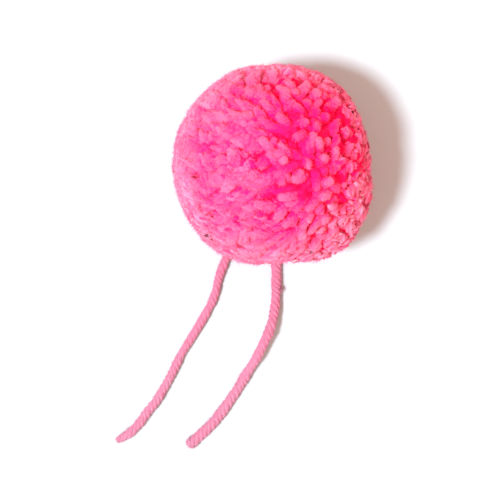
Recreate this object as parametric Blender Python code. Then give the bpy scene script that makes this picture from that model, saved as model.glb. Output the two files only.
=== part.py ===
# Yarn pom pom with its two tie ends, lying on a table.
# Metres, +Z up. The origin is on the table under the middle of the ball, and the tie ends lie towards -Y.

import math

import bmesh
import bpy
from mathutils import Matrix, Vector, geometry, kdtree, noise

# Driving dimensions
BALL_RADIUS = 0.0325  # a ball wound on a 65 mm pom pom maker
REST_FLAT = 0.0022  # how much shorter the yarn is where the ball stands on the table
CORE_RADIUS = 0.016  # inside this the tied yarn is one solid mass
YARN_DIAMETER = 0.003

# The locks of yarn, which are four-sided and spread over the whole ball
LOCK_COUNT = 290
LOCK_ROOM = 1.5 * math.sqrt(4.0 * math.pi / LOCK_COUNT)  # locks nearer than this push each other apart
TIE_ROOM = 1.3  # how much more room a tie end takes than a lock
UNEVENNESS = 0.06
SETTLE_ROUNDS = 12
SETTLE_STEP = 0.3
LENGTH_JITTER = 0.0009
LEAN = 0.0028  # how far a lock's tip bends sideways along with its neighbours
SWEEP = 0.0024  # how far the yarn on the -X side falls outwards
CALM_SPREAD = 22.0  # degrees round a tie end in which the locks stay straight

# Each ring of a lock: how far out it is, how much of its room it fills, and how far out of square it may be.
LOCK_RINGS = (
    {"reach": 0.00, "fill": 0.90, "most": 1.00},
    {"reach": 0.50, "fill": 0.90, "most": 1.40},
    {"reach": 0.93, "fill": 0.92, "most": 1.60},
    {"reach": 1.00, "fill": 0.62, "most": 1.30},
)

# Where the clipped ball stands out from a true sphere or is cut a little close.
OUTLINE_LOBES = (
    {"azimuth": 50.0, "elevation": 0.0, "bump": 0.0011, "spread": 24.0},
    {"azimuth": 120.0, "elevation": 5.0, "bump": 0.0004, "spread": 18.0},
    {"azimuth": 240.0, "elevation": -5.0, "bump": 0.0017, "spread": 26.0},
    {"azimuth": 316.0, "elevation": -5.0, "bump": 0.0034, "spread": 24.0},
    {"azimuth": 20.0, "elevation": 10.0, "bump": -0.0012, "spread": 16.0},
    {"azimuth": 90.0, "elevation": 0.0, "bump": -0.0008, "spread": 18.0},
    {"azimuth": 150.0, "elevation": 0.0, "bump": -0.0013, "spread": 18.0},
    {"azimuth": 195.0, "elevation": 0.0, "bump": -0.0009, "spread": 14.0},
    {"azimuth": 300.0, "elevation": 62.0, "bump": 0.0007, "spread": 30.0},
)

# The tie ends: each runs out of the tied mass between the locks under the ball, and lies on the table.
TIE_ROUTES = {
    "tie_end_left": (
        (-0.0047, -0.0095, 0.0177),
        (-0.0061, -0.0124, 0.0138),
        (-0.0075, -0.0153, 0.0100),
        (-0.0088, -0.0179, 0.0066),
        (-0.0096, -0.0196, 0.0043),
        (-0.0108, -0.0220, 0.0023),
        (-0.0125, -0.0253, 0.0015),
        (-0.0145, -0.0296, 0.0015),
        (-0.0164, -0.0338, 0.0015),
        (-0.0179, -0.0382, 0.0015),
        (-0.0189, -0.0425, 0.0015),
        (-0.0204, -0.0465, 0.0015),
        (-0.0227, -0.0506, 0.0015),
        (-0.0250, -0.0547, 0.0015),
        (-0.0300, -0.0627, 0.0015),
        (-0.0341, -0.0709, 0.0015),
        (-0.0387, -0.0790, 0.0015),
        (-0.0419, -0.0831, 0.0015),
        (-0.0447, -0.0869, 0.0015),
        (-0.0479, -0.0902, 0.0015),
        (-0.0522, -0.0928, 0.0015),
    ),
    "tie_end_right": (
        (0.0006, -0.0106, 0.0177),
        (0.0007, -0.0138, 0.0138),
        (0.0009, -0.0170, 0.0100),
        (0.0010, -0.0199, 0.0066),
        (0.0011, -0.0218, 0.0043),
        (0.0013, -0.0245, 0.0023),
        (0.0015, -0.0282, 0.0015),
        (0.0017, -0.0325, 0.0015),
        (0.0018, -0.0368, 0.0015),
        (0.0018, -0.0410, 0.0016),
        (0.0016, -0.0450, 0.0020),
        (0.0011, -0.0490, 0.0026),
        (0.0003, -0.0528, 0.0032),
        (-0.0011, -0.0567, 0.0036),
        (-0.0030, -0.0607, 0.0036),
        (-0.0050, -0.0647, 0.0030),
        (-0.0076, -0.0689, 0.0021),
        (-0.0100, -0.0730, 0.0015),
        (-0.0125, -0.0770, 0.0015),
        (-0.0183, -0.0851, 0.0015),
        (-0.0222, -0.0892, 0.0015),
        (-0.0279, -0.0944, 0.0015),
    ),
}
CURVE_STEPS = 12  # straight steps between two of a route's points

# The yarn itself: four plies twisted together to the left
PLIES = 4
TWIST_PITCH = 0.0076  # along the yarn for one whole turn
TWIST_STEP = 36.0  # degrees of turn from one section to the next
SECTION_POINTS = 12
PLY_GROOVE = 0.26  # how deep the groove between two plies is, as a share of the yarn's radius

CENTRE_HEIGHT = BALL_RADIUS - REST_FLAT
PINK = (0.95, 0.13, 0.40, 1.0)
PINK_TIE = (0.95, 0.19, 0.44, 1.0)


def clear_scene():
    for obj in list(bpy.data.objects):
        bpy.data.objects.remove(obj, do_unlink=True)


def yarn_material(name, colour):
    material = bpy.data.materials.new(name)
    material.use_nodes = True
    shader = material.node_tree.nodes["Principled BSDF"]
    shader.inputs["Base Color"].default_value = colour
    shader.inputs["Roughness"].default_value = 0.9
    shader.inputs["Metallic"].default_value = 0.0
    shader.inputs["Sheen Weight"].default_value = 0.4
    return material


def direction_to(azimuth, elevation):
    """The unit vector that points this many degrees round from +X and up from the table."""
    across, up = math.radians(azimuth), math.radians(elevation)
    return Vector((math.cos(up) * math.cos(across), math.cos(up) * math.sin(across), math.sin(up)))


def fade(angle, spread):
    """1 at no angle, falling smoothly to nearly 0 past the spread. Both are in degrees."""
    return math.exp(-((angle / spread) ** 2))


def degrees_between(first, second):
    return math.degrees(first.angle(second))


# Where the tie ends leave the tied mass, seen from the ball's middle.
TIE_DIRECTIONS = [
    (Vector(route[0]) - Vector((0.0, 0.0, CENTRE_HEIGHT))).normalized() for route in TIE_ROUTES.values()
]


def unrest(direction):
    """0 beside a tie end, where the locks stay straight, and 1 elsewhere."""
    return 1.0 - max(fade(degrees_between(direction, tie), CALM_SPREAD) for tie in TIE_DIRECTIONS)


def clipped_radius(direction):
    """How far the clipped yarn reaches from the ball's middle in this direction."""
    radius = BALL_RADIUS
    for lobe in OUTLINE_LOBES:
        angle = degrees_between(direction, direction_to(lobe["azimuth"], lobe["elevation"]))
        radius += lobe["bump"] * fade(angle, lobe["spread"])
    return radius


def reach_to_table(direction):
    """How far yarn in this direction can go before it meets the table."""
    return CENTRE_HEIGHT / -direction.z if direction.z < 0 else math.inf


def chance(index, row):
    """An even random number from 0 to 1, the same each time for the same index and row."""
    return noise.cell(Vector((index * 1.37 + 0.5, row * 2.0 + 0.5, 0.5)))


def tree_of(directions):
    tree = kdtree.KDTree(len(directions))
    for index, direction in enumerate(directions):
        tree.insert(direction, index)
    tree.balance()
    return tree


def spread_directions():
    """A direction for each tie end, then one for each lock. The first lock points straight down."""
    fixed = TIE_DIRECTIONS + [Vector((0.0, 0.0, -1.0))]
    free = []
    for i in range(LOCK_COUNT - 1):
        height = 1.0 - 2.0 * (i + 0.5) / LOCK_COUNT
        turn = i * math.pi * (3.0 - math.sqrt(5.0))
        across = math.sqrt(1.0 - height * height)
        start = Vector((across * math.cos(turn), across * math.sin(turn), height))
        shift = Vector((chance(i, 1), chance(i, 2), chance(i, 3))) * 2.0 - Vector((1.0, 1.0, 1.0))
        free.append((start + shift * UNEVENNESS).normalized())
    for _ in range(SETTLE_ROUNDS):
        tree = tree_of(fixed + free)
        moved = []
        for direction in free:
            push = Vector()
            for other, index, distance in tree.find_range(direction, LOCK_ROOM * TIE_ROOM):
                room = LOCK_ROOM * (TIE_ROOM if index < len(TIE_DIRECTIONS) else 1.0)
                if 0.0 < distance < room:
                    push += (direction - other) / distance * (room - distance)
            moved.append((direction + push * SETTLE_STEP).normalized())
        free = moved
    return fixed + free


def room_towards(side, middle, others):
    """How far a lock can spread from its middle towards one side before it is halfway to a neighbour."""
    return min((1.0 - middle.dot(other)) / side.dot(other) for other in others if side.dot(other) > 0.01)


def plan_locks():
    """For each lock its middle, the sides its corners point to, its room there, and its extra length."""
    directions = spread_directions()
    tree = tree_of(directions)
    locks = []
    for index, middle in enumerate(directions[len(TIE_DIRECTIONS):]):
        near = tree.find_range(middle, 2.0 * LOCK_ROOM)
        others = [other for other, _, distance in near if distance > 0.0]
        across = middle.orthogonal().normalized()
        turn = chance(index, 4) * math.pi / 2
        sides = [Matrix.Rotation(turn + quarter * math.pi / 2, 3, middle) @ across for quarter in range(4)]
        locks.append({
            "middle": middle,
            "sides": sides,
            "rooms": [room_towards(side, middle, others) for side in sides],
            "least_room": min((middle - other).length for other in others) / 2.0,
            "extra_length": (chance(index, 5) * 2.0 - 1.0) * LENGTH_JITTER,
        })
    return locks


def corner_directions(lock, ring):
    """The four corners of a lock's section at this ring, as directions from the ball's middle."""
    corners = []
    for side, room in zip(lock["sides"], lock["rooms"]):
        spread = min(room, lock["least_room"] * ring["most"]) * ring["fill"]
        corners.append((lock["middle"] + side * spread).normalized())
    return corners


def bent(point, along, direction):
    """A point of a lock after the lock has leaned over, more towards its tip."""
    push = noise.noise_vector(direction * 1.9 + Vector((7.0, 1.0, 5.0))) * LEAN
    push += Vector((-1.0, 0.0, 0.0)) * SWEEP * fade(degrees_between(direction, direction_to(170, 45)), 50.0)
    sideways = push - direction * push.dot(direction)
    return point + sideways * unrest(direction) * along**1.5


def tied_mass(ball, locks):
    """The solid middle of the ball, open where each lock starts, with each lock's first four corners."""
    lock_of = {}
    for index, lock in enumerate(locks):
        lock["root"] = [ball.verts.new(way * CORE_RADIUS) for way in corner_directions(lock, LOCK_RINGS[0])]
        lock_of.update((corner, index) for corner in lock["root"])
    bmesh.ops.convex_hull(ball, input=ball.verts[:])
    starts = [face for face in ball.faces if len({lock_of[corner] for corner in face.verts}) == 1]
    bmesh.ops.delete(ball, geom=starts, context="FACES")


def grow_lock(ball, lock):
    """Draws a lock out ring by ring from the tied mass to the clipped surface, and closes its tip."""
    tip_radius = clipped_radius(lock["middle"]) + lock["extra_length"]
    below = lock["root"]
    for ring in LOCK_RINGS[1:]:
        ways = corner_directions(lock, ring)
        rests = ring is LOCK_RINGS[-1] and all(reach_to_table(way) < tip_radius for way in ways)
        above = []
        for way in ways:
            end = min(tip_radius, reach_to_table(way))
            radius = CORE_RADIUS + (end - CORE_RADIUS) * ring["reach"]
            point = bent(way * radius, ring["reach"], way)
            if rests or point.z < -CENTRE_HEIGHT:
                point.z = -CENTRE_HEIGHT
            above.append(ball.verts.new(point))
        for quarter in range(4):
            after = (quarter + 1) % 4
            ball.faces.new((below[quarter], below[after], above[after], above[quarter]))
        below = above
    ball.faces.new(below)


def pompom(material, collection):
    """The ball: locks of yarn that stand apart, all grown out of one tied mass."""
    locks = plan_locks()
    ball = bmesh.new()
    tied_mass(ball, locks)
    for lock in locks:
        grow_lock(ball, lock)
    bmesh.ops.recalc_face_normals(ball, faces=ball.faces[:])
    across = [vertex.co.x for vertex in ball.verts]
    along = [vertex.co.y for vertex in ball.verts]
    shift = Vector((-(min(across) + max(across)) / 2, -(min(along) + max(along)) / 2, CENTRE_HEIGHT))
    bmesh.ops.translate(ball, verts=ball.verts, vec=shift)
    mesh = bpy.data.meshes.new("pompom")
    ball.to_mesh(mesh)
    ball.free()
    mesh.materials.append(material)
    obj = bpy.data.objects.new("pompom", mesh)
    collection.objects.link(obj)
    return obj


def smooth_line(route):
    """Points close together along a smooth curve through all of the route's points."""
    knots = [Vector(point) for point in route]
    before = [knots[0] * 2 - knots[1]] + knots[:-1]
    after = knots[1:] + [knots[-1] * 2 - knots[-2]]
    tangents = [(ahead - behind) / 6 for behind, ahead in zip(before, after)]
    line = [knots[0]]
    for i in range(len(knots) - 1):
        handles = knots[i] + tangents[i], knots[i + 1] - tangents[i + 1]
        line += geometry.interpolate_bezier(knots[i], *handles, knots[i + 1], CURVE_STEPS + 1)[1:]
    return line


def evenly_spaced(line, spacing):
    """The same line with its points this far apart, from its first point to its last."""
    lengths = [0.0]
    for first, second in zip(line, line[1:]):
        lengths.append(lengths[-1] + (second - first).length)
    steps = max(1, round(lengths[-1] / spacing))
    points, segment = [], 0
    for step in range(steps + 1):
        target = lengths[-1] * step / steps
        while segment < len(line) - 2 and lengths[segment + 1] < target:
            segment += 1
        share = (target - lengths[segment]) / (lengths[segment + 1] - lengths[segment])
        points.append(line[segment].lerp(line[segment + 1], share))
    return points


def yarn_section():
    """The angle and radius of each point round the yarn, with a rise for each ply and a groove between."""
    section = []
    for point in range(SECTION_POINTS):
        angle = math.tau * point / SECTION_POINTS
        groove = PLY_GROOVE * (0.5 - 0.5 * math.cos(PLIES * angle))
        section.append((angle, YARN_DIAMETER / 2 * (1.0 - groove)))
    return section


def tie_end(name, route, material, collection):
    """One end of the yarn that ties the ball: its section turns steadily as it follows the route."""
    line = evenly_spaced(smooth_line(route), TWIST_PITCH * TWIST_STEP / 360.0)
    section = yarn_section()
    yarn = bmesh.new()
    across = (line[1] - line[0]).orthogonal()
    rings = []
    for step, point in enumerate(line):
        ahead = (line[min(step + 1, len(line) - 1)] - line[max(step - 1, 0)]).normalized()
        across = (across - ahead * across.dot(ahead)).normalized()
        over = ahead.cross(across)
        ring = []
        for angle, radius in section:
            turned = angle - math.radians(step * TWIST_STEP)
            outwards = across * math.cos(turned) + over * math.sin(turned)
            ring.append(yarn.verts.new(point + outwards * radius))
        rings.append(ring)
    for near, far in zip(rings, rings[1:]):
        for corner in range(SECTION_POINTS):
            after = (corner + 1) % SECTION_POINTS
            yarn.faces.new((near[corner], near[after], far[after], far[corner]))
    yarn.faces.new(rings[0])
    yarn.faces.new(rings[-1])
    bmesh.ops.recalc_face_normals(yarn, faces=yarn.faces[:])
    mesh = bpy.data.meshes.new(name)
    yarn.to_mesh(mesh)
    yarn.free()
    mesh.materials.append(material)
    obj = bpy.data.objects.new(name, mesh)
    collection.objects.link(obj)
    return obj


def main():
    clear_scene()
    collection = bpy.data.collections.new("yarn_pompom")
    bpy.context.scene.collection.children.link(collection)
    pompom(yarn_material("pink_yarn", PINK), collection)
    tie_yarn = yarn_material("pink_tie_yarn", PINK_TIE)
    for name, route in TIE_ROUTES.items():
        tie_end(name, route, tie_yarn, collection)


main()
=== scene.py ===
import math
import random

import bpy
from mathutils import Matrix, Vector, geometry


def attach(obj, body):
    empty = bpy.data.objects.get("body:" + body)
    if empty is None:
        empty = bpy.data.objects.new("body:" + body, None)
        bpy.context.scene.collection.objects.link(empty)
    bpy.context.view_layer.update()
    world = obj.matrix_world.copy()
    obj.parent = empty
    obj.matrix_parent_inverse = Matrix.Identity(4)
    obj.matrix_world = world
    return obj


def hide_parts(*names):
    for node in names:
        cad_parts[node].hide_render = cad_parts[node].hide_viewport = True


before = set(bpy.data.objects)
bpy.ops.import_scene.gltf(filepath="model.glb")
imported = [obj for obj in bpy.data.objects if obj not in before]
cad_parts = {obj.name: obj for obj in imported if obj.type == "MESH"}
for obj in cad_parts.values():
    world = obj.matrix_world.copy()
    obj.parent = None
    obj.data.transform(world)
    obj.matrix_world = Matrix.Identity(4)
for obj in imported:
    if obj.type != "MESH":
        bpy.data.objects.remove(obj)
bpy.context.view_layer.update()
scene = bpy.context.scene

# camera, light and table

cameraValues = {
    "height": 0.600,            # straight above the table
    "aimX": -0.0071,
    "aimY": -0.0281,
    "lens": 127.0,
    "sensor": 36.0,
    "farthest": 5.0,
}

lightValues = {
    "sunTilt": 24.8,            # degrees from straight overhead
    "sunFrom": 201.0,           # degrees round from +X
    "sunSoftness": 10.5,
    "sunStrength": 5.35,
    "sunColour": (0.80, 1.0, 1.14),
    "skyStrength": 1.27,
    "skyColour": (1.0, 0.78, 0.68, 1.0),
}

tableValues = {"halfWidth": 1.5, "grey": 0.46, "roughness": 0.9}


def setCamera():
    data = bpy.data.cameras.new("camera")
    data.lens = cameraValues["lens"]
    data.sensor_width = cameraValues["sensor"]
    data.clip_end = cameraValues["farthest"]
    camera = bpy.data.objects.new("camera", data)
    camera.location = (cameraValues["aimX"], cameraValues["aimY"], cameraValues["height"])
    scene.collection.objects.link(camera)
    scene.camera = camera


def direction(around, up):
    # the direction that is so many degrees round from +X and up from level
    around = math.radians(around)
    up = math.radians(up)
    return math.cos(up) * math.cos(around), math.cos(up) * math.sin(around), math.sin(up)


def setLight():
    data = bpy.data.lights.new("window", "SUN")
    data.energy = lightValues["sunStrength"]
    data.angle = math.radians(lightValues["sunSoftness"])
    data.color = lightValues["sunColour"]
    sun = bpy.data.objects.new("window", data)
    place = Vector(direction(lightValues["sunFrom"], 90.0 - lightValues["sunTilt"]))
    sun.location = place
    sun.rotation_euler = place.to_track_quat("Z", "Y").to_euler()
    scene.collection.objects.link(sun)
    world = bpy.data.worlds.new("studio")
    world.use_nodes = True
    sky = world.node_tree.nodes["Background"]
    sky.inputs["Color"].default_value = lightValues["skyColour"]
    sky.inputs["Strength"].default_value = lightValues["skyStrength"]
    scene.world = world
    scene.view_settings.view_transform = "Standard"


def setTable():
    half = tableValues["halfWidth"]
    corners = [(-half, -half, 0), (half, -half, 0), (half, half, 0), (-half, half, 0)]
    mesh = bpy.data.meshes.new("table")
    mesh.from_pydata(corners, [], [(0, 1, 2, 3)])
    table = bpy.data.objects.new("table", mesh)
    scene.collection.objects.link(table)
    paper = bpy.data.materials.new("paper")
    paper.use_nodes = True
    shader = paper.node_tree.nodes["Principled BSDF"]
    shader.inputs["Base Color"].default_value = (*[tableValues["grey"]] * 3, 1.0)
    shader.inputs["Roughness"].default_value = tableValues["roughness"]
    mesh.materials.append(paper)


# small helpers for node trees

def feed(tree, value, socket):
    if isinstance(value, bpy.types.NodeSocket):
        tree.links.new(value, socket)
    elif value is not None:
        socket.default_value = value


def put(tree, kind, inputs=None, **settings):
    node = tree.nodes.new(kind)
    for name, value in settings.items():
        setattr(node, name, value)
    for name, value in (inputs or {}).items():
        feed(tree, value, node.inputs[name])
    return node


def calc(tree, operation, first, second=None, third=None):
    return put(tree, "ShaderNodeMath", {0: first, 1: second, 2: third}, operation=operation).outputs[0]


def vec(tree, operation, first, second=None, scale=None):
    node = put(tree, "ShaderNodeVectorMath", {0: first, 1: second, 3: scale}, operation=operation)
    return node.outputs[1 if operation in ("DOT_PRODUCT", "LENGTH", "DISTANCE") else 0]


def ramp(tree, value, fromLow, fromHigh, toLow, toHigh, smooth=True):
    kind = "SMOOTHSTEP" if smooth else "LINEAR"
    inputs = {"Value": value, "From Min": fromLow, "From Max": fromHigh, "To Min": toLow, "To Max": toHigh}
    return put(tree, "ShaderNodeMapRange", inputs, interpolation_type=kind).outputs["Result"]


def curve(tree, value, points):
    node = put(tree, "ShaderNodeFloatCurve", {"Value": value})
    line = node.mapping.curves[0]
    for point, (x, y) in zip(line.points, points):
        point.location = (x, y)
    for x, y in points[2:]:
        line.points.new(x, y)
    node.mapping.update()
    return node.outputs["Value"]


def noise(tree, place, scale, detail):
    return put(tree, "ShaderNodeTexNoise", {"Vector": place, "Scale": scale, "Detail": detail}).outputs


def xyz(tree, x=0.0, y=0.0, z=0.0):
    return put(tree, "ShaderNodeCombineXYZ", {"X": x, "Y": y, "Z": z}).outputs["Vector"]


def parts(tree, vector):
    return put(tree, "ShaderNodeSeparateXYZ", {"Vector": vector}).outputs


def chance(tree, low, high, seed):
    node = put(tree, "FunctionNodeRandomValue", {2: low, 3: high, "Seed": seed}, data_type="FLOAT")
    return node.outputs[1]


def chanceWay(tree, most, seed):
    inputs = {0: (-most,) * 3, 1: (most,) * 3, "Seed": seed}
    return put(tree, "FunctionNodeRandomValue", inputs, data_type="FLOAT_VECTOR").outputs[0]


def keep(tree, shape, name, value, kind="FLOAT"):
    node = put(tree, "GeometryNodeStoreNamedAttribute", {"Geometry": shape, "Name": name}, data_type=kind)
    feed(tree, value, node.inputs["Value"])
    return node.outputs["Geometry"]


def keepAll(tree, shape, values, kind="FLOAT"):
    for name, value in values.items():
        shape = keep(tree, shape, name, value, kind)
    return shape


def kept(tree, name, kind="FLOAT"):
    return put(tree, "GeometryNodeInputNamedAttribute", {"Name": name}, data_type=kind).outputs["Attribute"]


def forget(tree, shape, *names):
    for name in names:
        node = put(tree, "GeometryNodeRemoveAttribute", {"Geometry": shape, "Name": name})
        shape = node.outputs["Geometry"]
    return shape


def position(tree):
    return put(tree, "GeometryNodeInputPosition").outputs[0]


def moved(tree, shape, place):
    return put(tree, "GeometryNodeSetPosition", {"Geometry": shape, "Position": place}).outputs["Geometry"]


def repeated(tree, points, shape):
    # one copy of the shape for every point, as one mesh whose parts know their own point's attributes
    points = moved(tree, points, xyz(tree))
    placed = put(tree, "GeometryNodeInstanceOnPoints", {"Points": points, "Instance": shape})
    whole = put(tree, "GeometryNodeRealizeInstances", {"Geometry": placed.outputs["Instances"]})
    return whole.outputs["Geometry"]


# hardly a yarn or fibre runs this way, so it helps to find what is square to them
seldomWay = (0.31, 0.87, 0.38)


def crossways(tree, ahead):
    # two directions square to the way a yarn or a fibre runs
    side = vec(tree, "NORMALIZE", vec(tree, "CROSS_PRODUCT", ahead, seldomWay))
    return side, vec(tree, "CROSS_PRODUCT", ahead, side)


def lumpy(tree, place, scale, detail, size):
    lumps = vec(tree, "SUBTRACT", noise(tree, place, scale, detail)["Color"], (0.5, 0.5, 0.5))
    return vec(tree, "ADD", place, vec(tree, "SCALE", lumps, scale=size))


def aboveTable(tree, place, lowest):
    place = parts(tree, place)
    return xyz(tree, place["X"], place["Y"], calc(tree, "MAXIMUM", place["Z"], lowest))


def newTree(name, values):
    kinds = {bpy.types.Material: "NodeSocketMaterial", int: "NodeSocketInt", float: "NodeSocketFloat"}
    tree = bpy.data.node_groups.new(name, "GeometryNodeTree")
    tree.is_modifier = True
    tree.interface.new_socket("Geometry", in_out="INPUT", socket_type="NodeSocketGeometry")
    for label, value in values.items():
        tree.interface.new_socket(label, in_out="INPUT", socket_type=kinds[type(value)])
    tree.interface.new_socket("Geometry", in_out="OUTPUT", socket_type="NodeSocketGeometry")
    given = tree.nodes.new("NodeGroupInput").outputs
    return tree, given


def endTree(tree, shape, material):
    shape = put(tree, "GeometryNodeRealizeInstances", {"Geometry": shape}).outputs["Geometry"]
    shape = put(tree, "GeometryNodeSetShadeSmooth", {"Geometry": shape}).outputs["Geometry"]
    painted = put(tree, "GeometryNodeSetMaterial", {"Geometry": shape, "Material": material})
    shape = painted.outputs["Geometry"]
    out = tree.nodes.new("NodeGroupOutput")
    tree.links.new(shape, out.inputs[0])


def bakePiece(name, tree, values, start=None):
    # runs the tree on the starting data and keeps the result as a plain mesh at the origin
    maker = bpy.data.objects.new(name + "Maker", start or bpy.data.meshes.new(name + "Start"))
    scene.collection.objects.link(maker)
    modifier = maker.modifiers.new("make", "NODES")
    modifier.node_group = tree
    sockets = {item.name: item.identifier for item in tree.interface.items_tree if item.in_out == "INPUT"}
    for label, value in values.items():
        modifier[sockets[label]] = value
    bpy.context.view_layer.update()
    graph = bpy.context.evaluated_depsgraph_get()
    mesh = bpy.data.meshes.new_from_object(maker.evaluated_get(graph), depsgraph=graph)
    maker.modifiers.remove(modifier)
    bpy.data.objects.remove(maker)
    mesh.name = name
    piece = bpy.data.objects.new(name, mesh)
    scene.collection.objects.link(piece)
    mesh.calc_loop_triangles()
    print(name, "has", len(mesh.loop_triangles), "triangles")
    return piece


# yarn materials

pliesPerYarn = 4

yarnColours = {
    "middleDeep": (0.78, 0.002, 0.056, 1.0),
    "middleBright": (0.95, 0.011, 0.120, 1.0),
    "deep": (0.97, 0.004, 0.118, 1.0),
    "bright": (0.92, 0.105, 0.222, 1.0),
    "tieDeep": (0.66, 0.060, 0.135, 1.0),
    "tieBright": (0.44, 0.168, 0.243, 1.0),
    # the loose fibres on the ball and the ties are paler than their yarn, partly as a painted highlight where
    # they catch the light
    "tieFuzz": (0.80, 0.310, 0.400, 1.0),
    "fuzz": (0.98, 0.20, 0.37, 1.0),
    # the pale colour laid on as a painted sheen round the rim and on the lit side, and on some ends as their
    # own paler colour
    "pale": (0.98, 0.27, 0.40, 1.0),
    "sheen": (1.0, 0.62, 0.80, 1.0),
    # painted glow: the red light the middle gives off, standing in for light bounced deep in the ball
    "inside": (1.0, 0.0, 0.06, 1.0),
}

# turns, fineness and stretch set the pattern; the side depth is the painted shade on the sides of each yarn,
# and the glow is a painted red light given off from deep in the ball in place of bounced light
yarnFinishes = {
    "pinkYarn": {
        "deep": yarnColours["deep"], "bright": yarnColours["bright"],
        "turns": 2.2, "fineness": 4.5, "stretch": 1.2, "plyDepth": 0.4,
        "softness": 0.8, "sideShadeDepth": 0.65, "sheen": 0.35, "inside": 0.0,
    },
    "pinkYarnMiddle": {
        "deep": yarnColours["middleDeep"], "bright": yarnColours["middleBright"],
        "turns": 0.5, "fineness": 1.5, "stretch": 1.0, "plyDepth": 0.5,
        "softness": 0.0, "sideShadeDepth": 0.0, "sheen": 0.0, "inside": 0.12,
    },
    "pinkTieYarn": {
        "deep": yarnColours["tieDeep"], "bright": yarnColours["tieBright"],
        "turns": 0.0, "fineness": 2.0, "stretch": 3.0, "plyDepth": 0.0,
        "softness": 0.0, "sideShadeDepth": 0.0, "sheen": 0.35, "inside": 0.0,
    },
}

# how much each of these takes the yarn from its deep colour to its bright one: hairs, cloud and tint are the
# yarn's own tone, while ridge paints shade into the grooves between plies, the depth weight paints shade on
# yarn lying deeper in the ball and the hollow weight paints shade into sunken tips
toneWeights = {"ridge": 0.45, "hairs": 0.18, "cloud": 0.15, "tint": 0.42, "depthLight": 1.00, "hollowShade": -0.55}

toneValues = {
    "start": -0.86,
    "bloomRidge": 0.8,          # how bright the opened end is between its fibres
    # loose yarn lies on the lit left side: it is painted lighter, with less painted shade in its depths and
    # on its sides, and drifts in tone from patch to patch
    "looseStart": 0.44,
    "loosePatches": 1.3,
    "looseDepthLight": -0.6,
    "looseSides": -0.5,
    "patchScale": 230.0,
    "paleYarn": 0.2,            # how far the painted sheen and paleness lighten the whole yarn
    "paleEnd": 0.4,             # and its open end besides
}

surfaceValues = {
    "bumpDistance": 0.0005,
    "bumpStrength": 0.4,
    "hairHeight": 0.12,
    "roughest": 0.75,
    "smoothest": 0.55,
    "fuzzRoughness": 0.85,
    "shine": 0.03,
    "sheenRoughness": 0.5,
}


def newGroup(name, inputs, outputs):
    group = bpy.data.node_groups.new(name, "ShaderNodeTree")
    group.interface.new_socket("Run", in_out="INPUT", socket_type="NodeSocketVector")
    for label, value in inputs.items():
        socket = group.interface.new_socket(label, in_out="INPUT", socket_type="NodeSocketFloat")
        socket.default_value = value
    for label in outputs:
        group.interface.new_socket(label, in_out="OUTPUT", socket_type="NodeSocketFloat")
    given = group.nodes.new("NodeGroupInput").outputs
    out = group.nodes.new("NodeGroupOutput").inputs
    return group, given, out


def twistGroup():
    # where the plies lie on the yarn: 0 in a groove, 1 on top of a ply
    group, given, out = newGroup("yarnTwist", {"Plies": float(pliesPerYarn), "Turns": 1.0}, ["Ridge"])
    run = parts(group, given["Run"])
    around = calc(group, "DIVIDE", calc(group, "ARCTAN2", run["Y"], run["X"]), math.tau)
    turned = calc(group, "MULTIPLY_ADD", run["Z"], given["Turns"], around)
    phase = calc(group, "MULTIPLY", calc(group, "MULTIPLY", turned, given["Plies"]), math.pi)
    feed(group, calc(group, "ABSOLUTE", calc(group, "SINE", phase)), out["Ridge"])
    return group


def fibreGroup():
    # fine hairs that run along the yarn, and soft cloudy tone under them
    inputs = {"Fineness": 3.0, "Stretch": 4.0, "Shift": 0.0}
    group, given, out = newGroup("yarnFibres", inputs, ["Hairs", "Cloud"])
    run = parts(group, given["Run"])
    shift = calc(group, "MULTIPLY", given["Shift"], 37.0)
    place = xyz(group, run["X"], run["Y"], calc(group, "MULTIPLY_ADD", run["Z"], given["Stretch"], shift))
    hairs = noise(group, place, given["Fineness"], 3.0)["Fac"]
    cloud = noise(group, place, 0.9, 1.0)["Fac"]
    feed(group, ramp(group, hairs, 0.3, 0.7, 0.0, 1.0), out["Hairs"])
    feed(group, ramp(group, cloud, 0.3, 0.7, 0.0, 1.0), out["Cloud"])
    return group


def mixed(tree, factor, first, second):
    node = put(tree, "ShaderNodeMix", data_type="RGBA", clamp_factor=True)
    for place, value in ((0, factor), (6, first), (7, second)):
        feed(tree, value, node.inputs[place])
    return node.outputs[2]


def yarnTone(tree, look, objectPlace, side):
    # 0 for the deep colour, 1 for the bright one
    tone = toneValues["start"]
    for name, weight in toneWeights.items():
        tone = calc(tree, "MULTIPLY_ADD", look[name], weight, tone)
    # painted shade on the sides of each yarn, weaker where the yarn is loose
    firmness = calc(tree, "MULTIPLY_ADD", look["soft"], toneValues["looseSides"], 1.0)
    tone = calc(tree, "SUBTRACT", tone, calc(tree, "MULTIPLY", side, firmness))
    # where the yarn is loose, on the lit left side, it is painted lighter and its deeper parts get less
    # painted shade, and the tone drifts from patch to patch
    patches = noise(tree, objectPlace, toneValues["patchScale"], 1.0)["Fac"]
    patches = calc(tree, "SUBTRACT", patches, 0.5)
    drift = calc(tree, "MULTIPLY_ADD", patches, toneValues["loosePatches"], toneValues["looseStart"])
    drift = calc(tree, "MULTIPLY_ADD", look["depthLight"], toneValues["looseDepthLight"], drift)
    return calc(tree, "MULTIPLY_ADD", look["soft"], drift, tone)


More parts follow.
